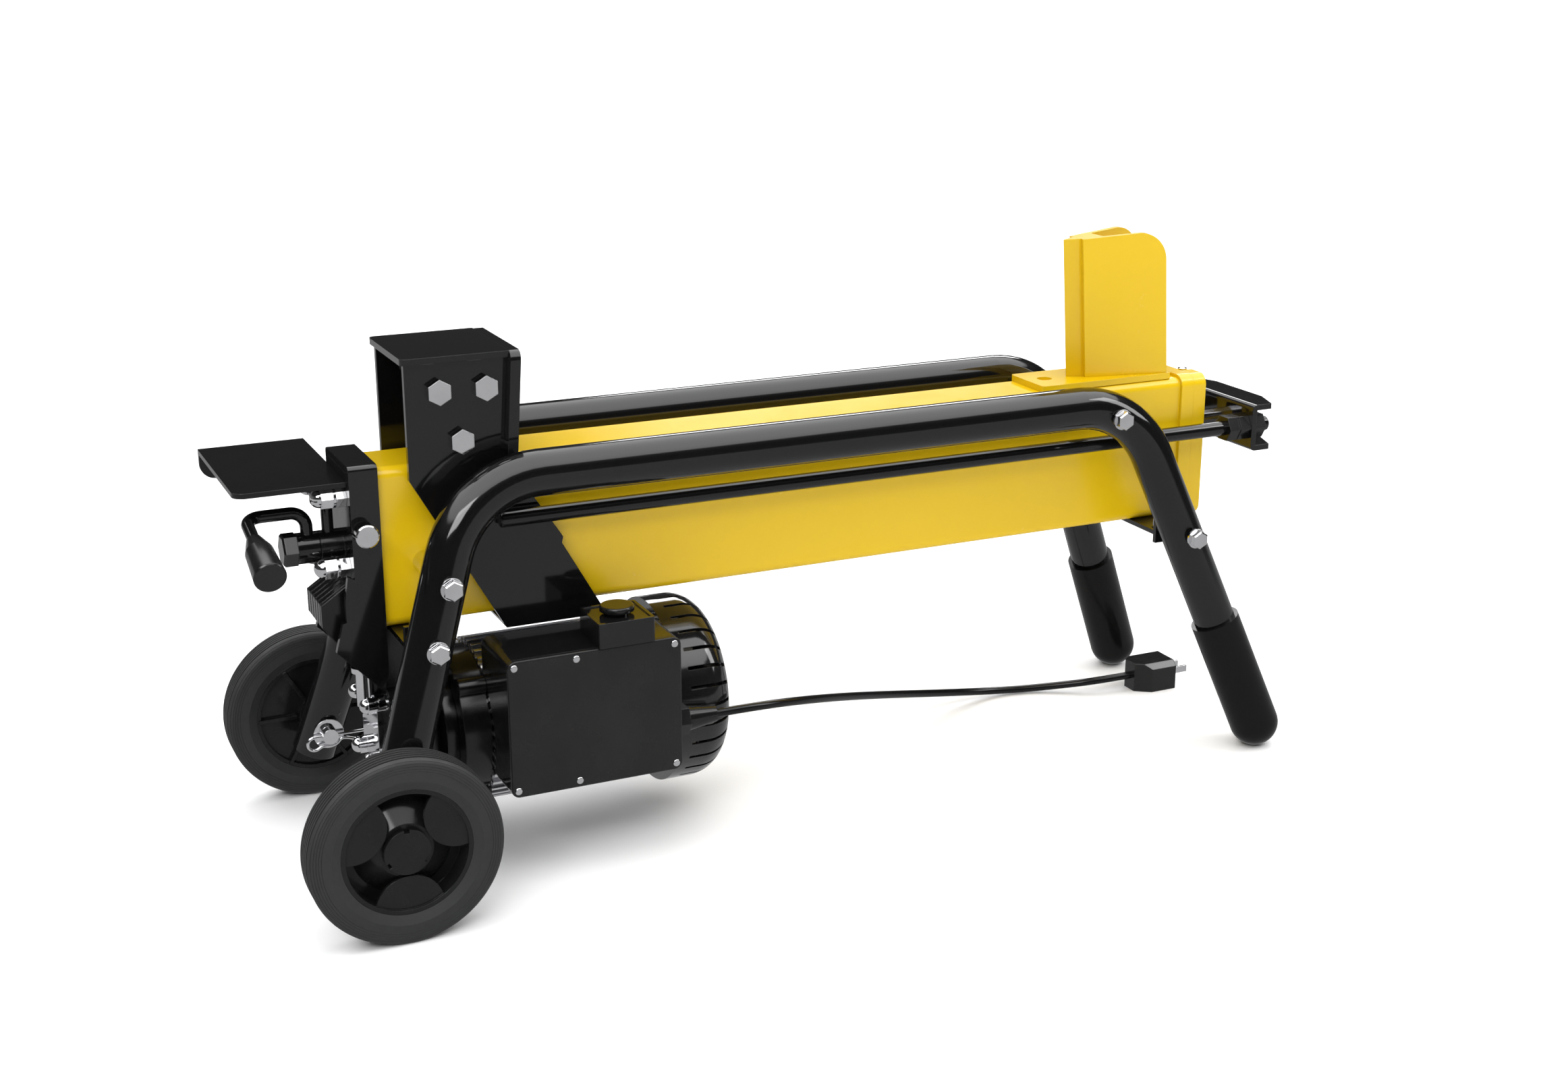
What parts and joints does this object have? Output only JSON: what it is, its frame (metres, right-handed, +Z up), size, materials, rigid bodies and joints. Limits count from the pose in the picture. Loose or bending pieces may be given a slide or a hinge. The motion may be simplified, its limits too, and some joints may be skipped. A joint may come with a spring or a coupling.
{
  "type": "log splitter",
  "caption": "Low electric log splitter: box beam with a fixed wedge and a ram-driven pusher, tube rails to rubber feet and two wheels, motor and pump slung below.",
  "frame": {"origin": "on the floor, under the centre of the machine's bounding box", "axes": "+X along the beam from the pump end to the wedge end, +Y to the left, +Z up"},
  "size_m": [0.918, 0.324, 0.4556],
  "materials": {
    "beam": "gloss",
    "rear_plate": "satin",
    "end_cap": "gloss",
    "bleed_screw": "polished",
    "wedge_base_plate": "gloss",
    "wedge_blade": "gloss",
    "wedge_wing_right": "gloss",
    "wedge_wing_left": "gloss",
    "rail_right": "gloss",
    "rail_left": "gloss",
    "foot_boot_right": "satin",
    "foot_boot_left": "satin",
    "pump_end_bracket": "gloss",
    "wedge_end_bracket": "gloss",
    "rail_bolts": "polished",
    "tyre_right": "matte",
    "tyre_left": "matte",
    "rim_right": "satin",
    "rim_left": "satin",
    "hub_cap_right": "satin",
    "hub_cap_left": "satin",
    "axle_pins": "polished",
    "axle_clips": "polished",
    "cylinder_barrel": "brushed",
    "cylinder_head": "brushed",
    "ram_rod": "polished",
    "crossbar": "gloss",
    "pull_rods": "gloss",
    "crossbar_nuts": "satin",
    "pusher_saddle": "gloss",
    "push_plate": "gloss",
    "pusher_top_plate": "gloss",
    "guide_pads": "matte",
    "pusher_bolts": "polished",
    "valve_housing": "cast",
    "valve_bracket": "gloss",
    "bracket_pins": "polished",
    "hand_guard": "satin",
    "tie_studs": "polished",
    "return_pipe": "gloss",
    "valve_spool": "gloss",
    "control_lever": "gloss",
    "lever_grip": "satin",
    "pump_housing": "cast",
    "pump_cover": "polished",
    "motor_end_bell": "cast",
    "motor_body": "polished",
    "stator": "laminated",
    "rotor": "brushed",
    "cooling_fan": "matte",
    "fan_cover": "gloss",
    "terminal_box": "gloss",
    "terminal_cover": "satin",
    "cover_screws": "polished",
    "switch_housing": "gloss",
    "start_button": "gloss",
    "cable_gland": "satin",
    "power_cord": "satin",
    "plug_body": "gloss",
    "plug_prongs": "polished"
  },
  "bodies": {
    "frame": {"beam": "beam", "rear_plate": "rear_plate", "end_cap": "end_cap", "bleed_screw": "bleed_screw", "wedge_base_plate": "wedge_base_plate", "wedge_blade": "wedge_blade", "wedge_wing_right": "wedge_wing_right", "wedge_wing_left": "wedge_wing_left", "rail_right": "rail_right", "rail_left": "rail_left", "foot_boot_right": "foot_boot_right", "foot_boot_left": "foot_boot_left", "pump_end_bracket": "pump_end_bracket", "wedge_end_bracket": "wedge_end_bracket", "rail_bolts": "rail_bolts", "axle_pins": "axle_pins", "axle_clips": "axle_clips", "cylinder_barrel": "cylinder_barrel", "cylinder_head": "cylinder_head", "valve_housing": "valve_housing", "valve_bracket": "valve_bracket", "bracket_pins": "bracket_pins", "hand_guard": "hand_guard", "tie_studs": "tie_studs", "return_pipe": "return_pipe", "pump_housing": "pump_housing", "pump_cover": "pump_cover", "motor_end_bell": "motor_end_bell", "motor_body": "motor_body", "stator": "stator", "fan_cover": "fan_cover", "terminal_box": "terminal_box", "terminal_cover": "terminal_cover", "cover_screws": "cover_screws", "switch_housing": "switch_housing", "cable_gland": "cable_gland", "power_cord": "power_cord", "plug_body": "plug_body", "plug_prongs": "plug_prongs"},
    "ram": {"ram_rod": "ram_rod", "crossbar": "crossbar", "pull_rods": "pull_rods", "crossbar_nuts": "crossbar_nuts", "pusher_saddle": "pusher_saddle", "push_plate": "push_plate", "pusher_top_plate": "pusher_top_plate", "guide_pads": "guide_pads", "pusher_bolts": "pusher_bolts"},
    "wheel_right": {"tyre_right": "tyre_right", "rim_right": "rim_right", "hub_cap_right": "hub_cap_right"},
    "wheel_left": {"tyre_left": "tyre_left", "rim_left": "rim_left", "hub_cap_left": "hub_cap_left"},
    "lever": {"valve_spool": "valve_spool", "control_lever": "control_lever", "lever_grip": "lever_grip"},
    "motor_rotor": {"rotor": "rotor", "cooling_fan": "cooling_fan"},
    "button": {"start_button": "start_button"}
  },
  "joints": [
    {"name": "ram_slide", "type": "slide", "parent": "frame", "child": "ram", "axis": [1, 0, 0], "range_m": [0, 0.46]},
    {"name": "wheel_right_spin", "type": "hinge", "parent": "frame", "child": "wheel_right", "pos_m": [-0.378, -0.147, 0.073], "axis": [0, 1, 0], "continuous": true},
    {"name": "wheel_left_spin", "type": "hinge", "parent": "frame", "child": "wheel_left", "pos_m": [-0.378, 0.147, 0.073], "axis": [0, 1, 0], "continuous": true},
    {"name": "lever_turn", "type": "hinge", "parent": "frame", "child": "lever", "pos_m": [-0.41, 0, 0.262], "axis": [1, 0, 0], "range_deg": [0, 30], "stiffness_Nm_per_rad": 1, "springref_deg": -17.19},
    {"name": "start_press", "type": "slide", "parent": "frame", "child": "button", "axis": [0, 0, -1], "range_m": [0, 0.0025], "stiffness_N_per_m": 800, "springref_m": -0.001},
    {"name": "rotor_spin", "type": "hinge", "parent": "frame", "child": "motor_rotor", "pos_m": [-0.2, 0, 0.103], "axis": [1, 0, 0], "continuous": true}
  ]
}
